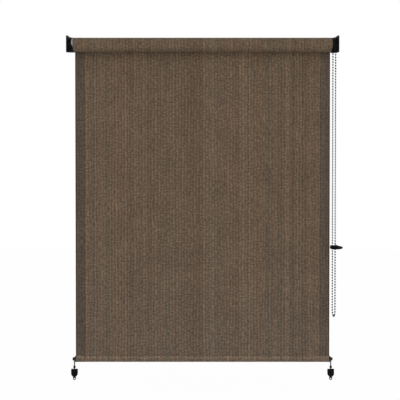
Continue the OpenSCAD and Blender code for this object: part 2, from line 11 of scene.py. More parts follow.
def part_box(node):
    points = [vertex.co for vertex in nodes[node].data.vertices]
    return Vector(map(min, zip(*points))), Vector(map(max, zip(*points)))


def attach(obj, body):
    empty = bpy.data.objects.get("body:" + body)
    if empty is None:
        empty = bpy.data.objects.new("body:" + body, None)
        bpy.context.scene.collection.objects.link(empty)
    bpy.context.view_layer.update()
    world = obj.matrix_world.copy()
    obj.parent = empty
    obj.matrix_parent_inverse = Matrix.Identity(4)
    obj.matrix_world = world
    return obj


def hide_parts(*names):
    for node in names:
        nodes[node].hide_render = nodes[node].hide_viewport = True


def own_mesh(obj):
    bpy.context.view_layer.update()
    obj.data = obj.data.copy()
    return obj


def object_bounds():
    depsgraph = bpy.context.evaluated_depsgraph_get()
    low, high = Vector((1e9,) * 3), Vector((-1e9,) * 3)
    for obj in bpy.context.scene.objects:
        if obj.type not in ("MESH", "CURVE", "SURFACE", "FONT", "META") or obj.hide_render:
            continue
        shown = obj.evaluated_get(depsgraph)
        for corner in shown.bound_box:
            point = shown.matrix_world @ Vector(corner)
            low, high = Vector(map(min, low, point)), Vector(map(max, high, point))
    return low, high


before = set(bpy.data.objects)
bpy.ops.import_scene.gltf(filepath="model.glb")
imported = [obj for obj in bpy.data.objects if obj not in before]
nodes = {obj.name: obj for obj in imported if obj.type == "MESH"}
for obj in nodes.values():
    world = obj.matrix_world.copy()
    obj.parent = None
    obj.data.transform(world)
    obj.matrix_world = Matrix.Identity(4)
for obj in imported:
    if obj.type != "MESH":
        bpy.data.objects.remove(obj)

CAD_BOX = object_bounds()
MM = 0.001
scene = bpy.context.scene

# Places read from the frame
cloth_low, cloth_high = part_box("shade_cloth")
roll_low, roll_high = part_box("fabric_roll")
hem_low, hem_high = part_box("hem_pocket")
spring_low, spring_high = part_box("idler_spring")
AXIS_Y = (roll_low[1] + roll_high[1]) / 2
ROLL_R = (roll_high[2] - roll_low[2]) / 2
CLOTH_HALF = cloth_high[0]
SHEET_FRONT = cloth_low[1]
SHEET_BOTTOM = cloth_low[2]
HEM_Y = (hem_low[1] + hem_high[1]) / 2
SEAM_Z = hem_high[2]

# Camera, fitted to the photograph's square frame
CAMERA_AT = (-0.0116, -3.055, -0.640)
CAMERA_PITCH = 0.84
CAMERA_LENS = 61.05
CAMERA_SENSOR = 36.0

# Cloth, as in the part's source
CLOTH_T = 0.7 * MM
RIB_H = 0.3 * MM
RIB_W = 4 * MM
RIB_PITCH = 13.5 * MM
EDGE_BAND = 44 * MM
ROLL_TURNS = 5
TURN_STEP = 0.8 * MM

# Slight waves of the hanging sheet, the roll's lumps and the hem's slack
BROAD_WAVE = 2.2 * MM
SMALL_WAVE = 0.6 * MM
ROLL_LUMP = 0.12 * MM
HEM_SLACK = 0.25 * MM
# Edge of one turn on the roll, in millimetres: above the turn's inside, and back from its end
TURN_EDGE = ((0.05, 0.5), (0.2, 0.1), (0.5, 0.0), (0.65, 0.3))

# Chain, as in the part's source
BEAD_PITCH = 12 * MM
BEAD_R = 3.6 * MM
CHAIN_CORD_R = 0.5 * MM
POCKETS = 12
PITCH_R = POCKETS * BEAD_PITCH / math.tau
CHAIN_X = 580.5 * MM
STRAND_OFFSET = 1.5 * MM
REAR_X = CHAIN_X - STRAND_OFFSET
FRONT_X = CHAIN_X + STRAND_OFFSET
LEAD_PITCHES = 3
STRAND_PITCHES = 95
LEAD_Z = -LEAD_PITCHES * BEAD_PITCH
LOOP_Z = LEAD_Z - STRAND_PITCHES * BEAD_PITCH

# Collar at each end of a bead, in millimetres: past the bead's end, and radius, down to the cord
BEAD_COLLAR = ((-0.1, 0.9), (0.35, 0.85), (0.5, 0.5))

# Tie-downs, as in the part's source
HEM_Z = -1398 * MM
TIE_X = 575.5 * MM
ELASTIC_R = 2.5 * MM
ELASTIC_LOOP_R = 6.8 * MM
ELASTIC_END_Z = -1452.2 * MM

# Hem section, as in the part's source
POCKET_R = 6.275 * MM
POCKET_ARC_Z = 7.5 * MM
POCKET_WALL = 1.0 * MM
SEAM_T = 1.7 * MM

# Front of the folded cloth, in millimetres: before the bar's axis, and above it. Fullest at the bar's middle
HEM_FRONT = (
    (3.4, 13.8), (4.9, 11.6), (6.2, 9.3), (7.2, 6.6),
    (7.8, 3.6), (8.0, 0.8), (7.7, -2.6), (7.1, -5.4),
)

# Stitches of the hem's seam
STITCH_DROP = 2.0 * MM
STITCH_SINK = 0.1 * MM
STITCH_LENGTH = 3.2 * MM
STITCH_PITCH = 4.2 * MM
STITCH_MARGIN = 4 * MM
THREAD_R = 0.32 * MM

# Screws in the chain guide's foot
GUIDE_SCREWS_X = (606 * MM, 617 * MM)
GUIDE_SCREW_Z = -899.5 * MM
FOOT_T = 3 * MM

# One screw and its cross recess, in millimetres: radius, and place behind the foot's face
SCREW_PROFILE = (
    (0.0, -2.0), (0.9, -1.95), (2.0, -1.7), (2.9, -1.1), (3.2, -0.5),
    (3.2, 0.0), (1.7, 0.0), (1.7, 2.9), (0.0, 2.9),
)
RECESS_R = 1.5
RECESS_DEPTH = 0.9

# Idler spring, as in the part's source
SPRING_WIRE_R = 0.6 * MM
SPRING_TURNS = 7

# Stage, with the lamps' power in watts
FLOOR_HALF = 8.0
FLOOR_DROP = 0.12
FLOOR_WHITE = 0.97
WORLD_LIGHT = 0.68
KEY_LAMP = {"at": (-0.6, -3.6, 1.4), "aim": (0, 0, -0.7), "size": 2.6, "power": 17}
FILL_LAMP = {"at": (0.6, -3.4, -1.3), "aim": (0, 0, -0.3), "size": 2.4, "power": 27}


# Camera

def add_camera():
    data = bpy.data.cameras.new("camera")
    data.sensor_width = CAMERA_SENSOR
    data.lens = CAMERA_LENS
    camera = bpy.data.objects.new("camera", data)
    camera.location = CAMERA_AT
    camera.rotation_euler = (math.radians(90 - CAMERA_PITCH), 0, 0)
    scene.collection.objects.link(camera)
    scene.camera = camera


# Mesh helpers

def add_mesh(name, points, faces, material, uvs=None):
    """A smooth-shaded mesh object. uvs gives each point's place on the cloth, in metres."""
    mesh = bpy.data.meshes.new(name)
    mesh.from_pydata(points, [], faces)
    if uvs is not None:
        layer = mesh.uv_layers.new(name="cloth")
        for loop in mesh.loops:
            layer.data[loop.index].uv = uvs[loop.vertex_index]
    mesh.polygons.foreach_set("use_smooth", [True] * len(mesh.polygons))
    mesh.materials.append(material)
    mesh.update()
    obj = bpy.data.objects.new(name, mesh)
    scene.collection.objects.link(obj)
    return obj


def grid_faces(rows, columns, closed=False, start=0):
    """Quads over rows of points; closed joins each row's last point to its first."""
    faces = []
    for i in range(rows - 1):
        for j in range(columns if closed else columns - 1):
            k = (j + 1) % columns
            a = start + i * columns
            b = a + columns
            faces.append((a + j, a + k, b + k, b + j))
    return faces


def tube(path, radius, sides, across, closed=False):
    """Points and faces of a tube along a path.

    radius(ring, angle) gives its size, and across is a direction that the path never takes.
    """
    points = []
    last = len(path) - 1
    for i, centre in enumerate(path):
        before = path[i - 1] if i > 0 or closed else path[i]
        after = path[(i + 1) % len(path)] if i < last or closed else path[i]
        along = (after - before).normalized()
        side = (across - along * across.dot(along)).normalized()
        up = along.cross(side)
        for j in range(sides):
            a = math.tau * j / sides
            points.append(centre + (side * math.cos(a) + up * math.sin(a)) * radius(i, a))
    faces = grid_faces(len(path), sides, closed=True)
    if closed:
        base = last * sides
        faces += [(base + j, base + (j + 1) % sides, (j + 1) % sides, j) for j in range(sides)]
    else:
        faces.append(tuple(range(sides - 1, -1, -1)))
        faces.append(tuple(last * sides + j for j in range(sides)))
    return points, faces


def joined(parts):
    """Several (points, faces) lists as one."""
    points, faces = [], []
    for some_points, some_faces in parts:
        start = len(points)
        points += some_points
        faces += [tuple(start + i for i in face) for face in some_faces]
    return points, faces


def smoothstep(low, high, value):
    t = min(max((value - low) / (high - low), 0), 1)
    return t * t * (3 - 2 * t)


# Material helpers

def new_material(name):
    material = bpy.data.materials.new(name)
    material.use_nodes = True
    tree = material.node_tree
    return material, tree, tree.nodes["Principled BSDF"]


def put(tree, kind, settings=None, **inputs):
    """A new shader node. An input is a number, a colour or another node's socket."""
    made = tree.nodes.new(kind)
    for key, value in (settings or {}).items():
        setattr(made, key, value)
    for key, value in inputs.items():
        socket = made.inputs[int(key[1:])] if key[0] == "i" and key[1:].isdigit() else made.inputs[key]
        if isinstance(value, bpy.types.NodeSocket):
            tree.links.new(value, socket)
        else:
            socket.default_value = value
    return made


def math_node(tree, operation, first, second=0.0, third=0.0):
    made = put(tree, "ShaderNodeMath", {"operation": operation}, i0=first, i1=second, i2=third)
    return made.outputs[0]


def product(tree, factors):
    """All the factors multiplied together."""
    result = factors[0]
    for factor in factors[1:]:
        result = math_node(tree, "MULTIPLY", result, factor)
    return result


def noise_node(tree, vector, scale, detail=2.0, roughness=0.5):
    return put(
        tree, "ShaderNodeTexNoise", Vector=vector, Scale=scale, Detail=detail, Roughness=roughness
    ).outputs["Fac"]


def column_noise(tree, x, scale, detail=1.0):
    """Noise that changes along X only, so that it runs down the cloth as streaks."""
    return put(
        tree, "ShaderNodeTexNoise", {"noise_dimensions": "1D"}, W=x, Scale=scale, Detail=detail
    ).outputs["Fac"]


def spread(tree, fac, low, high):
    """A 0 to 1 value mapped to low to high."""
    made = put(tree, "ShaderNodeMapRange", i0=fac, i1=0.0, i2=1.0, i3=low, i4=high)
    return made.outputs[0]


def about_one(tree, fac, change):
    """A 0 to 1 value mapped to 1 - change to 1 + change."""
    return spread(tree, fac, 1 - change, 1 + change)


def step_up(tree, value, low, high):
    """0 below low, 1 above high, smooth between."""
    made = put(
        tree, "ShaderNodeMapRange", {"interpolation_type": "SMOOTHSTEP"},
        i0=value, i1=low, i2=high, i3=0.0, i4=1.0,
    )
    return made.outputs[0]


def line(tree, value, at, half_width, change):
    """1 away from a line, and 1 + change on it."""
    away = math_node(tree, "ABSOLUTE", math_node(tree, "SUBTRACT", value, at))
    made = put(
        tree, "ShaderNodeMapRange", {"interpolation_type": "SMOOTHSTEP"},
        i0=away, i1=half_width, i2=0.0, i3=1.0, i4=1.0 + change,
    )
    return made.outputs[0]


def mix_colour(tree, fac, first, second, blend="MIX"):
    made = put(tree, "ShaderNodeMix", {"data_type": "RGBA", "blend_type": blend})
    for index, value in ((0, fac), (6, first), (7, second)):
        if isinstance(value, bpy.types.NodeSocket):
            tree.links.new(value, made.inputs[index])
        else:
            made.inputs[index].default_value = value
    return made.outputs[2]


def seen_directly(tree):
    """1 for what the camera sees, also in a gloss or through glass, and 0 for light that falls elsewhere."""
    rays = put(tree, "ShaderNodeLightPath").outputs
    seen = math_node(tree, "MAXIMUM", rays["Is Camera Ray"], rays["Is Glossy Ray"])
    return math_node(tree, "MAXIMUM", seen, rays["Is Transmission Ray"])


def rgb(red, green, blue):
    return (red, green, blue, 1.0)


# Materials

BROWN_YARN = rgb(0.145, 0.092, 0.055)
GREEN_YARN = rgb(0.126, 0.093, 0.061)
BAND_YARN = rgb(0.098, 0.071, 0.051)
RIM_YARN = rgb(0.062, 0.040, 0.027)
# Between its bands, the cloth is a little paler and greyer towards its lower end
LOWER_END_TINT = rgb(1.04, 1.09, 1.21)
LOWER_TINT_FROM, LOWER_TINT_TO = 0.5, 1.5
# Changes of brightness: how many to the metre, and how much
STREAKS = ((165.0, 0.24), (36.0, 0.20), (8.0, 0.18))
GRAIN = ((100.0, 0.27), (190.0, 0.14))
GRAIN_STRETCH = (0.75, 1.35, 1.0)
# The same, with the noise's detail between the two
MOTTLING = ((30.0, 1.0, 0.18), (8.0, 2.0, 0.20))
# How many changes of hue to the metre
TINT_STREAKS = 22.0
# The ribs stray sideways a little, and their crowns are paler
RIB_STRAY = 8 * MM
RIB_STRAYS = 9.0
RIB_CONTRAST = 0.15
# Loops of the knit
WALE_PITCH = RIB_PITCH / 6
COURSE_PITCH = 2.6 * MM
COURSE_LEAN = 0.9
LOOP_SHADE, LOOP_CROWN = 0.74, 1.22
LOOP_HEIGHT = 0.4 * MM
# The hem is a little paler, and a painted highlight runs along its front below the seam, where the fold faces
# up towards the light: place, half width and change of brightness
HEM_PALER = 1.08
HEM_HIGHLIGHT_BAND = (SEAM_Z - 9.0 * MM, 11 * MM, 0.35)
# Single paler and darker yarns of the knit: place along X, half width and change of brightness
YARNS = (
    (-387 * MM, 1.6 * MM, 0.50),
    (-347 * MM, 1.6 * MM, 0.12),
    (-211 * MM, 2.4 * MM, 0.15),
    (-490 * MM, 1.6 * MM, 0.12),
    (476 * MM, 2.0 * MM, 0.14),
    (489 * MM, 1.6 * MM, 0.12),
    (-472 * MM, 2.2 * MM, -0.24),
    (-231 * MM, 2.2 * MM, -0.32),
    (-83 * MM, 2.0 * MM, -0.13),
    (-43 * MM, 2.0 * MM, -0.12),
    (122 * MM, 2.2 * MM, -0.14),
    (292 * MM, 2.2 * MM, -0.22),
)


def knit_cloth(name, wound, banded=True, paler=1.0, highlight_band=None):
    """Knitted shade cloth.

    On a wound or folded piece the second coordinate follows the cloth, and otherwise the height.
    """
    material, tree, shader = new_material(name)
    if wound:
        place = put(tree, "ShaderNodeUVMap", {"uv_map": "cloth"}).outputs["UV"]
    else:
        place = put(tree, "ShaderNodeTexCoord").outputs["Object"]
    split = put(tree, "ShaderNodeSeparateXYZ", Vector=place)
    x, down = split.outputs["X"], split.outputs["Y" if wound else "Z"]
    flat = put(tree, "ShaderNodeCombineXYZ", X=x, Y=down, Z=0.0).outputs[0]
    wide = put(tree, "ShaderNodeMapping", Vector=flat, Scale=GRAIN_STRETCH).outputs[0]

    # Brightness: streaks down the cloth, grain, mottling, rib lines and single yarns
    factors = [about_one(tree, column_noise(tree, x, scale), change) for scale, change in STREAKS]
    for scale, change in GRAIN:
        grain = step_up(tree, noise_node(tree, wide, scale, 1.0), 0.30, 0.70)
        factors.append(about_one(tree, grain, change))
    for scale, detail, change in MOTTLING:
        factors.append(about_one(tree, noise_node(tree, flat, scale, detail), change))
    stray = noise_node(tree, flat, RIB_STRAYS, 1.0)
    stray = spread(tree, stray, -RIB_STRAY - RIB_PITCH / 2, RIB_STRAY - RIB_PITCH / 2)
    rib = math_node(tree, "MULTIPLY", math_node(tree, "ADD", x, stray), math.tau / RIB_PITCH)
    rib = math_node(tree, "COSINE", rib)
    factors.append(math_node(tree, "MULTIPLY_ADD", rib, RIB_CONTRAST, 1.0))
    factors += [line(tree, x, *yarn) for yarn in YARNS]
    # On the hem, a painted highlight band along its front, below the seam
    if highlight_band:
        factors.append(line(tree, down, *highlight_band))

    # Wales and courses of the knit
    wale = math_node(tree, "SINE", math_node(tree, "MULTIPLY", x, math.tau / WALE_PITCH))
    lean = math_node(tree, "MULTIPLY", wale, COURSE_LEAN)
    phase = math_node(tree, "ADD", math_node(tree, "MULTIPLY", down, math.tau / COURSE_PITCH), lean)
    course = math_node(tree, "SINE", phase)
    loops = math_node(tree, "MULTIPLY_ADD", wale, 0.5, 0.5)
    loops = math_node(tree, "MULTIPLY", loops, spread(tree, course, 0.75, 1.0))
    factors.append(spread(tree, loops, LOOP_SHADE * paler, LOOP_CROWN * paler))
    light = product(tree, factors)

    # Hue, with close-knitted bands along both edges and a dark outer edge on the hanging sheet
    tint = step_up(tree, column_noise(tree, x, TINT_STREAKS, 2.0), 0.20, 0.80)
    colour = mix_colour(tree, tint, BROWN_YARN, GREEN_YARN)
    # Paler and greyer towards the cloth's lower end
    lower_end = step_up(tree, math_node(tree, "MULTIPLY", down, -1.0), LOWER_TINT_FROM, LOWER_TINT_TO)
    colour = mix_colour(tree, lower_end, colour, LOWER_END_TINT, "MULTIPLY")
    if banded:
        side = math_node(tree, "ABSOLUTE", x)
        band_from = CLOTH_HALF - EDGE_BAND
        band = step_up(tree, side, band_from - 2 * MM, band_from + 2 * MM)
        rim = step_up(tree, side, CLOTH_HALF - 7 * MM, CLOTH_HALF - 4 * MM)
        colour = mix_colour(tree, band, colour, BAND_YARN)
        colour = mix_colour(tree, rim, colour, RIM_YARN)
    shade = put(tree, "ShaderNodeCombineColor", Red=light, Green=light, Blue=light).outputs[0]
    colour = mix_colour(tree, 1.0, colour, shade, "MULTIPLY")
    tree.links.new(colour, shader.inputs["Base Color"])

    shader.inputs["Roughness"].default_value = 0.82
    shader.inputs["Specular IOR Level"].default_value = 0.25
    shader.inputs["Sheen Weight"].default_value = 0.05
    bump = put(tree, "ShaderNodeBump", Height=loops, Strength=0.5, Distance=LOOP_HEIGHT)
    tree.links.new(bump.outputs[0], shader.inputs["Normal"])
    return material


def moulded(name, colour, worn, roughness, grain, gloss=0.25):
    """Moulded plastic: fine grain, slight mottling and worn, paler patches."""
    material, tree, shader = new_material(name)
    place = put(tree, "ShaderNodeTexCoord").outputs["Object"]
    cloudy = noise_node(tree, place, 45.0, 3.0, 0.6)
    fine = noise_node(tree, place, 1400.0, 2.0, 0.6)
    mixed = mix_colour(tree, step_up(tree, cloudy, 0.35, 0.8), colour, worn)
    tree.links.new(mixed, shader.inputs["Base Color"])
    tree.links.new(spread(tree, cloudy, roughness - 0.08, roughness + 0.12), shader.inputs["Roughness"])
    shader.inputs["Specular IOR Level"].default_value = gloss
    bump = put(tree, "ShaderNodeBump", Height=fine, Strength=grain, Distance=0.08 * MM)
    tree.links.new(bump.outputs[0], shader.inputs["Normal"])
    return material


def drawn_metal(name, colour, dull, roughness, along_scale):
    """Drawn or turned metal: fine lines along the axes that along_scale stretches, with a little dulling."""
    material, tree, shader = new_material(name)
    place = put(tree, "ShaderNodeTexCoord").outputs["Object"]
    lined = put(tree, "ShaderNodeMapping", Vector=place, Scale=along_scale).outputs[0]
    lines = noise_node(tree, lined, 900.0, 2.0, 0.6)
    dulling = noise_node(tree, place, 30.0, 3.0, 0.6)
    tree.links.new(mix_colour(tree, dulling, colour, dull), shader.inputs["Base Color"])
    tree.links.new(spread(tree, lines, roughness - 0.1, roughness + 0.15), shader.inputs["Roughness"])
    shader.inputs["Metallic"].default_value = 1.0
    bump = put(tree, "ShaderNodeBump", Height=lines, Strength=0.15, Distance=0.05 * MM)
    tree.links.new(bump.outputs[0], shader.inputs["Normal"])
    return material


def braided_elastic():
    """Woven sheath of the elastic: dark yarns with a slight sheen."""
    material, tree, shader = new_material("black_elastic")
    place = put(tree, "ShaderNodeTexCoord").outputs["Object"]
    yarns = noise_node(tree, place, 900.0, 2.0, 0.7)
    colour = mix_colour(tree, yarns, rgb(0.006, 0.006, 0.008), rgb(0.022, 0.022, 0.026))
    tree.links.new(colour, shader.inputs["Base Color"])
    shader.inputs["Roughness"].default_value = 0.75
    shader.inputs["Sheen Weight"].default_value = 0.15
    bump = put(tree, "ShaderNodeBump", Height=yarns, Strength=0.5, Distance=0.15 * MM)
    tree.links.new(bump.outputs[0], shader.inputs["Normal"])
    return material


def sewing_thread():
    """Twisted sewing thread, a little paler than the cloth."""
    material, tree, shader = new_material("sewing_thread")
    place = put(tree, "ShaderNodeTexCoord").outputs["Object"]
    twist = noise_node(tree, place, 1600.0, 2.0, 0.6)
    colour = mix_colour(tree, twist, rgb(0.10, 0.068, 0.045), rgb(0.19, 0.135, 0.095))
    tree.links.new(colour, shader.inputs["Base Color"])
    shader.inputs["Roughness"].default_value = 0.7
    return material


def floor_finish():
    """Pale floor that keeps the shadow under a white backdrop."""
    material, tree, shader = new_material("floor")
    shader.inputs["Base Color"].default_value = rgb(FLOOR_WHITE, FLOOR_WHITE, FLOOR_WHITE)
    shader.inputs["Roughness"].default_value = 0.9
    glow = put(tree, "ShaderNodeEmission", Color=rgb(1, 1, 1), Strength=1.0)
    share = math_node(tree, "MULTIPLY", seen_directly(tree), FLOOR_WHITE)
    mixed = put(tree, "ShaderNodeMixShader", i0=share, i1=shader.outputs[0], i2=glow.outputs[0])
    tree.links.new(mixed.outputs[0], tree.nodes["Material Output"].inputs["Surface"])
    return material


# Cloth

def rib_columns(half):
    """[x, height of the knit's ribs] from edge to edge, as in the part's source."""
    field = half - EDGE_BAND
    count = int((2 * field - RIB_W) // RIB_PITCH)
    first = -count * RIB_PITCH / 2
    lip = RIB_W / 4
    columns = [(-half, 0.6 * RIB_H), (-half + lip, RIB_H), (-half + EDGE_BAND / 2, RIB_H)]
    columns += [(-field - lip, RIB_H), (-field, RIB_H / 2)]
    for i in range(count + 1):
        x = first + i * RIB_PITCH
        columns += [(x - RIB_W / 2, 0), (x - lip, RIB_H), (x + lip, RIB_H), (x + RIB_W / 2, 0)]
    columns += [(field, RIB_H / 2), (field + lip, RIB_H)]
    columns += [(half - EDGE_BAND / 2, RIB_H), (half - lip, RIB_H), (half, 0.6 * RIB_H)]
    return columns


def sheet_wave(x, z):
    """How far the hanging cloth strays from its plane: nothing at the roll and the hem, most between."""
    share = z / SHEET_BOTTOM
    free = math.sin(math.pi * min(max(share, 0), 1))
    broad = noise.noise(Vector((x * 4.5, 3.1, z * 0.7)))
    small = noise.noise(Vector((x * 14.0, 8.7, z * 1.6)))
    return free * (BROAD_WAVE * broad + SMALL_WAVE * small)


def hanging_sheet(material):
    """The sheet from the roll to the hem: thin where it leaves the roll, and tucked into the seam below."""
    columns = rib_columns(CLOTH_HALF)
    tuck = 1.0 * MM
    tuck_sink = 0.35 * MM
    taper = 10 * MM
    top_t = 0.1 * MM
    rows = 64
    bottom = SHEET_BOTTOM - tuck
    heights = [bottom * i / rows for i in range(rows)] + [bottom + 3 * tuck, bottom]
    heights.sort(reverse=True)
    front, back = [], []
    for z in heights:
        whole = smoothstep(0, taper, -z)
        sunk = tuck_sink * smoothstep(bottom + 3 * tuck, bottom, z)
        thick = top_t + (CLOTH_T - top_t) * whole
        for x, rib in columns:
            wave = sheet_wave(x, z)
            front.append((x, SHEET_FRONT + RIB_H - rib * whole + wave + sunk, z))
            back.append((x, SHEET_FRONT + RIB_H + thick + wave, z))
    count, wide = len(heights), len(columns)
    start = len(front)
    faces = [face[::-1] for face in grid_faces(count, wide)]
    faces += grid_faces(count, wide, start=start)
    for j in range(wide - 1):
        last = (count - 1) * wide + j
        faces.append((j, j + 1, start + j + 1, start + j))
        faces.append((last + 1, last, start + last, start + last + 1))
    for i in range(count - 1):
        a, b = i * wide, (i + 1) * wide
        faces.append((b, a, start + a, start + b))
        faces.append((a + wide - 1, b + wide - 1, start + b + wide - 1, start + a + wide - 1))
    obj = add_mesh("hanging_cloth", front + back, faces, material)
    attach(obj, "mounting")
    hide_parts("shade_cloth")
    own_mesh(obj)
    return obj


def wound_roll(material):
    """The turns on the tube: ribbed outside, with each turn's rounded edge at both ends."""
    steps = 96
    roll_in = ROLL_R - RIB_H - ROLL_TURNS * CLOTH_T
    outer = ROLL_R - RIB_H
    right = []
    for turn in range(ROLL_TURNS):
        end = CLOTH_HALF - TURN_STEP * ((ROLL_TURNS - 1 - turn) % 3)
        r = roll_in + turn * CLOTH_T
        right += [(r + up * MM, end - back * MM) for up, back in TURN_EDGE]
    face = [(outer + rib, x) for x, rib in rib_columns(CLOTH_HALF)][2:-2]
    profile = [(r, -x) for r, x in right] + face + right[::-1]
    points, uvs = [], []
    for i in range(steps + 1):
        a = math.tau * i / steps
        for r, x in profile:
            lump = noise.noise(Vector((x * 9, math.cos(a) * 1.3, math.sin(a) * 1.3))) - 1
            radius = r + ROLL_LUMP * lump if r > outer else r
            points.append((x, AXIS_Y + radius * math.cos(a), radius * math.sin(a)))
            uvs.append((x, a * ROLL_R))
    faces = [face[::-1] for face in grid_faces(steps + 1, len(profile))]
    obj = add_mesh("wound_cloth", points, faces, material, uvs)
    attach(obj, "roller")
    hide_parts("fabric_roll")
    return obj


def hem_section():
    """Outer outline of the hem in Y and Z about its axis, from the seam's front round the bar to its back."""
    seam_front = Vector((SHEET_FRONT - HEM_Y, SEAM_Z - HEM_Z))
    seam_back = seam_front + Vector((SEAM_T, 0))
    steps = 12
    outline = [seam_front]
    outline += [Vector((-ahead * MM, z * MM)) for ahead, z in HEM_FRONT]
    for i in range(steps + 1):
        a = math.pi + math.pi * i / steps
        outline.append(Vector((POCKET_R * math.cos(a), -POCKET_ARC_Z + POCKET_R * math.sin(a))))
    outline += [Vector((POCKET_R, z * POCKET_ARC_Z)) for z in (-0.33, 0.33, 0.8)]
    for i in range(5):
        a = math.radians(10 * i)
        outline.append(Vector((POCKET_R * math.cos(a), POCKET_ARC_Z + POCKET_R * math.sin(a))))
    leave = outline[-1]
    outline += [leave.lerp(seam_back, share) for share in (0.35, 0.7, 0.9, 1.0)]
    return outline


def hem_fold(material):
    """The folded hem round its bar, ribbed outside and a little slack along its length."""
    outline = hem_section()
    columns = rib_columns(CLOTH_HALF)
    lengths = [0.0]
    for a, b in zip(outline, outline[1:]):
        lengths.append(lengths[-1] + (b - a).length)
    count = len(outline)
    normals = []
    for i in range(count):
        along = outline[min(i + 1, count - 1)] - outline[max(i - 1, 0)]
        normals.append(Vector((-along.y, along.x)).normalized() * -1)
    points, uvs = [], []
    for x, rib in columns:
        slack = HEM_SLACK * noise.noise(Vector((x * 22, 0.5, 4.2)))
        for i in range(count):
            swell = math.sin(math.pi * min(lengths[i] / lengths[-1], 1))
            spot = outline[i] - normals[i] * (RIB_H - rib - slack) * swell
            points.append((x, HEM_Y + spot.x, HEM_Z + spot.y))
            uvs.append((x, SEAM_Z - lengths[i]))
        for i in range(count):
            spot = outline[i] - normals[i] * POCKET_WALL
            points.append((x, HEM_Y + spot.x, HEM_Z + spot.y))
            uvs.append((x, SEAM_Z - lengths[i]))
    ring = 2 * count
    faces = []
    for c in range(len(columns) - 1):
        a, b = c * ring, (c + 1) * ring
        for i in range(count - 1):
            faces.append((a + i, b + i, b + i + 1, a + i + 1))
            faces.append((a + count + i + 1, b + count + i + 1, b + count + i, a + count + i))
        for i in (0, count - 1):
            faces.append((a + i, a + count + i, b + count + i, b + i)[:: 1 if i == 0 else -1])
    for start, flip in ((0, 1), ((len(columns) - 1) * ring, -1)):
        for i in range(count - 1):
            quad = (start + i, start + i + 1, start + count + i + 1, start + count + i)
            faces.append(quad[::flip])
    obj = add_mesh("hem_fold", points, faces, material, uvs)
    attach(obj, "hem")
    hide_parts("hem_pocket")
    return obj


def stitch_row(name, y, z, out, material):
    """A row of sewn stitches along the hem's seam; out is -1 on the front face and 1 on the back."""
    count = int((2 * CLOTH_HALF - 2 * STITCH_MARGIN) / STITCH_PITCH)
    arch = (0.0, 0.75, 1.0, 0.75, 0.0)
    parts = []
    for i in range(count):
        x = (i - (count - 1) / 2) * STITCH_PITCH
        path = [
            Vector((x + STITCH_LENGTH * (k / 4 - 0.5), y + out * THREAD_R * (1.6 * lift - 1), z))
            for k, lift in enumerate(arch)
        ]
        parts.append(tube(path, lambda ring, a: THREAD_R, 6, Vector((0, 0, 1))))
    points, faces = joined(parts)
    obj = add_mesh(name, points, faces, material)
    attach(obj, "hem")
    return obj


# Chain and cords

def chain_beads():
    """Bead centres from the front outlet down, round the loop, up, and over the sprocket to the front."""
    front_y, rear_y = AXIS_Y - PITCH_R, AXIS_Y + PITCH_R
    front = [Vector((FRONT_X, front_y, LEAD_Z - i * BEAD_PITCH)) for i in range(1, STRAND_PITCHES)]
    loop = []
    half = POCKETS // 2
    for i in range(half + 1):
        a = math.pi + math.pi * i / half
        x = FRONT_X + (REAR_X - FRONT_X) * i / half
        loop.append(Vector((x, AXIS_Y + PITCH_R * math.cos(a), LOOP_Z + PITCH_R * math.sin(a))))
    rear = [Vector((REAR_X, rear_y, bead.z)) for bead in reversed(front)]
    for i in range(LEAD_PITCHES, 0, -1):
        x = CHAIN_X + (REAR_X - CHAIN_X) * i / LEAD_PITCHES
        rear.append(Vector((x, rear_y, -i * BEAD_PITCH)))
    wrap = []
    for i in range(half + 1):
        a = math.pi * i / half
        wrap.append(Vector((CHAIN_X, AXIS_Y + PITCH_R * math.cos(a), PITCH_R * math.sin(a))))
    lead = []
    for i in range(1, LEAD_PITCHES + 1):
        x = CHAIN_X + (FRONT_X - CHAIN_X) * i / LEAD_PITCHES
        lead.append(Vector((x, front_y, -i * BEAD_PITCH)))
    return front + loop + rear + wrap + lead


def bead_profile():
    """One bead with a short collar at each end: place along the chain from the bead's centre, and radius."""
    turns = [math.radians(a) for a in (25, 50, 70)]
    half = [(BEAD_R * math.sin(a), BEAD_R * math.cos(a)) for a in turns]
    half += [(BEAD_R + past * MM, radius * MM) for past, radius in BEAD_COLLAR]
    other_half = [(-place, radius) for place, radius in reversed(half)]
    return [(-BEAD_PITCH / 2, CHAIN_CORD_R)] + other_half + [(0.0, BEAD_R)] + half


def bead_chain(material):
    beads = chain_beads()
    path, radii = [], []
    for i, bead in enumerate(beads):
        before = beads[i - 1] if i > 0 else bead + Vector((0, 0, BEAD_PITCH))
        after = beads[i + 1] if i + 1 < len(beads) else bead - Vector((0, 0, BEAD_PITCH))
        for place, radius in bead_profile():
            end = before if place < 0 else after
            path.append(bead + (end - bead).normalized() * abs(place))
            radii.append(radius)
    points, faces = tube(path, lambda ring, a: radii[ring], 10, Vector((1, 0, 0)))
    obj = add_mesh("chain_of_beads", points, faces, material)
    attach(obj, "mounting")
    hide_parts("bead_chain")
    return obj


def braid(radius, rings_per_repeat):
    """Radius of a braided sheath: crossing strands stand up in diamonds."""
    def size(ring, a):
        turn = math.tau * ring / rings_per_repeat
        return radius * (0.97 + 0.05 * math.sin(4 * a + turn) * math.sin(4 * a - turn))
    return size


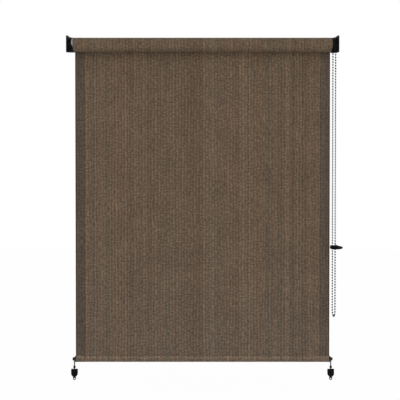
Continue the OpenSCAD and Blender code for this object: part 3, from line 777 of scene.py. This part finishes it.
def elastic_tie(side, name, material):
    """One elastic: a loop round the end cap's peg and a stretch down into the clip."""
    x = side * TIE_X
    ring_step = 0.45 * MM
    repeat, sides = 10, 24
    top = HEM_Z - ELASTIC_LOOP_R
    count = int((top - ELASTIC_END_Z) / ring_step)
    path = [Vector((x, HEM_Y, top + (ELASTIC_END_Z - top) * i / count)) for i in range(count + 1)]
    across = Vector((1, 0, 0))
    points, faces = tube(path, braid(ELASTIC_R, repeat), sides, across)
    cord = add_mesh(name + "_elastic", points, faces, material)
    rings = int(math.tau * ELASTIC_LOOP_R / ring_step / repeat) * repeat
    loop_path = [
        Vector((x, HEM_Y + ELASTIC_LOOP_R * math.sin(a), HEM_Z + ELASTIC_LOOP_R * math.cos(a)))
        for a in (math.tau * i / rings for i in range(rings))
    ]
    points, faces = tube(loop_path, braid(ELASTIC_R, repeat), sides, across, closed=True)
    loop = add_mesh(name + "_elastic_loop", points, faces, material)
    for obj in (cord, loop):
        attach(obj, name + "_tie_down")
    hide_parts(name + "_elastic_cord")
    return cord


def idler_coil(material):
    """The idler's compression spring, drawn at rest; the real one shortens as the pin is pressed in."""
    x0, x1 = spring_low[0], spring_high[0]
    coil_r = (spring_high[2] - spring_low[2]) / 2 - SPRING_WIRE_R
    steps = 28
    count = SPRING_TURNS * steps
    reach = x1 - x0 - 2 * SPRING_WIRE_R
    path = []
    for i in range(count + 1):
        a = math.tau * i / steps
        x = x0 + SPRING_WIRE_R + reach * i / count
        path.append(Vector((x, AXIS_Y + coil_r * math.cos(a), coil_r * math.sin(a))))
    points, faces = tube(path, lambda ring, a: SPRING_WIRE_R, 8, Vector((1, 0, 0)))
    obj = add_mesh("idler_coil", points, faces, material)
    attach(obj, "roller")
    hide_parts("idler_spring")
    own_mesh(obj)


def guide_screw(index, x, material):
    """A pan-head screw through the chain guide's foot, with a cross recess in its head."""
    sides = 24
    points = []
    for r, y in SCREW_PROFILE:
        in_recess = r < RECESS_R and y < 0
        for j in range(sides):
            a = math.tau * j / sides
            wall = min(abs(math.sin(2 * a)), 0.5) * 2 if r > 0 else 0
            sunk = RECESS_DEPTH * (1 - wall) if in_recess else 0
            across, up = r * MM * math.cos(a), r * MM * math.sin(a)
            points.append((x + across, (y + sunk) * MM - FOOT_T, GUIDE_SCREW_Z + up))
    faces = grid_faces(len(SCREW_PROFILE), sides, closed=True)
    obj = add_mesh(f"guide_screw_{index}", points, faces, material)
    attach(obj, "mounting")


# Kept CAD nodes

def dress(material, *names, edge=0.0):
    """A finish for CAD nodes, with their sharp edges rounded where edge is set."""
    for name in names:
        obj = nodes[name]
        obj.data.materials.clear()
        obj.data.materials.append(material)
        if edge:
            weld = obj.modifiers.new("weld", "WELD")
            weld.merge_threshold = 0.01 * MM
            bevel = obj.modifiers.new("round_edges", "BEVEL")
            bevel.limit_method = "ANGLE"
            bevel.angle_limit = math.radians(35)
            bevel.width = edge
            bevel.segments = 2
            bevel.harden_normals = False


# Stage

def add_floor(material):
    half, z = FLOOR_HALF, CAD_BOX[0][2] - FLOOR_DROP
    corners = [(-half, -half, z), (half, -half, z), (half, half, z), (-half, half, z)]
    floor = add_mesh("floor", corners, [(0, 1, 2, 3)], material)


def add_world():
    world = bpy.data.worlds.new("studio")
    scene.world = world
    world.use_nodes = True
    tree = world.node_tree
    lighting = tree.nodes["Background"]
    lighting.inputs["Color"].default_value = rgb(1.0, 1.0, 1.0)
    lighting.inputs["Strength"].default_value = WORLD_LIGHT
    backdrop = put(tree, "ShaderNodeBackground", Color=rgb(1, 1, 1), Strength=1.0)
    seen = seen_directly(tree)
    mixed = put(tree, "ShaderNodeMixShader", i0=seen, i1=lighting.outputs[0], i2=backdrop.outputs[0])
    tree.links.new(mixed.outputs[0], tree.nodes["World Output"].inputs["Surface"])


def add_lamp(name, at, aim, size, power):
    data = bpy.data.lights.new(name, "AREA")
    data.shape = "DISK"
    data.size = size
    data.energy = power
    lamp = bpy.data.objects.new(name, data)
    lamp.location = at
    lamp.rotation_euler = (Vector(aim) - Vector(at)).to_track_quat("-Z", "Y").to_euler()
    scene.collection.objects.link(lamp)


# Building

def add_cords(black_beads):
    bead_chain(black_beads)
    elastic = braided_elastic()
    for side, name in ((-1, "left"), (1, "right")):
        elastic_tie(side, name, elastic)


def add_cloth():
    sheet = hanging_sheet(knit_cloth("knit_cloth", wound=False))
    wound_roll(knit_cloth("knit_cloth_wound", wound=True, banded=False))
    # The hem's cloth carries a painted highlight along its front, below the seam
    knit_hem = knit_cloth("knit_cloth_hem", wound=True, banded=False, paler=HEM_PALER, highlight_band=HEM_HIGHLIGHT_BAND)
    hem = hem_fold(knit_hem)
    thread = sewing_thread()
    stitch_z = SEAM_Z - STITCH_DROP
    front_row = stitch_row("hem_stitches_front", SHEET_FRONT - STITCH_SINK, stitch_z, -1, thread)
    back_row = stitch_row("hem_stitches_back", HEM_Y - STITCH_SINK, stitch_z, 1, thread)


def add_hardware(black_beads):
    black_plastic = moulded(
        "black_moulding", colour=rgb(0.003, 0.003, 0.004), worn=rgb(0.006, 0.006, 0.008),
        roughness=0.5, grain=0.35, gloss=0.06,
    )
    grey_plastic = moulded(
        "grey_moulding", colour=rgb(0.24, 0.24, 0.245), worn=rgb(0.30, 0.30, 0.30),
        roughness=0.45, grain=0.15,
    )
    wire = moulded(
        "black_wire", colour=rgb(0.009, 0.009, 0.010), worn=rgb(0.016, 0.016, 0.018),
        roughness=0.35, grain=0.05,
    )
    aluminium = drawn_metal(
        "aluminium_tube", colour=rgb(0.28, 0.28, 0.285), dull=rgb(0.22, 0.22, 0.225),
        roughness=0.4, along_scale=(0.02, 1, 1),
    )
    steel = drawn_metal(
        "steel", colour=rgb(0.58, 0.58, 0.59), dull=rgb(0.46, 0.46, 0.47),
        roughness=0.3, along_scale=(1, 0.1, 0.1),
    )
    idler_coil(steel)
    for index, x in enumerate(GUIDE_SCREWS_X):
        guide_screw(index + 1, x, wire)
    dress(black_plastic, "left_bracket", "right_bracket", edge=0.8 * MM)
    dress(black_plastic, "chain_guard", "chain_guide", edge=0.5 * MM)
    dress(black_plastic, "left_end_cap", "right_end_cap", "left_clip", "right_clip", edge=0.5 * MM)
    dress(black_plastic, "chain_sprocket", "drive_plug", "idler_plug", "idler_pin")
    dress(black_beads, "left_cord_stop", "right_cord_stop", edge=0.4 * MM)
    dress(wire, "left_bail", "right_bail")
    dress(grey_plastic, "clutch_core", edge=0.4 * MM)
    dress(aluminium, "roller_tube", "hem_bar")
    dress(steel, "clutch_screw", "brake_spring")


def build():
    add_camera()
    black_beads = moulded(
        "black_beads", colour=rgb(0.004, 0.004, 0.005), worn=rgb(0.008, 0.008, 0.009),
        roughness=0.35, grain=0.05, gloss=0.12,
    )
    add_cords(black_beads)
    add_cloth()
    add_hardware(black_beads)
    add_floor(floor_finish())
    add_world()
    add_lamp("key", **KEY_LAMP)
    add_lamp("fill", **FILL_LAMP)
    scene.view_settings.view_transform = "Standard"


build()
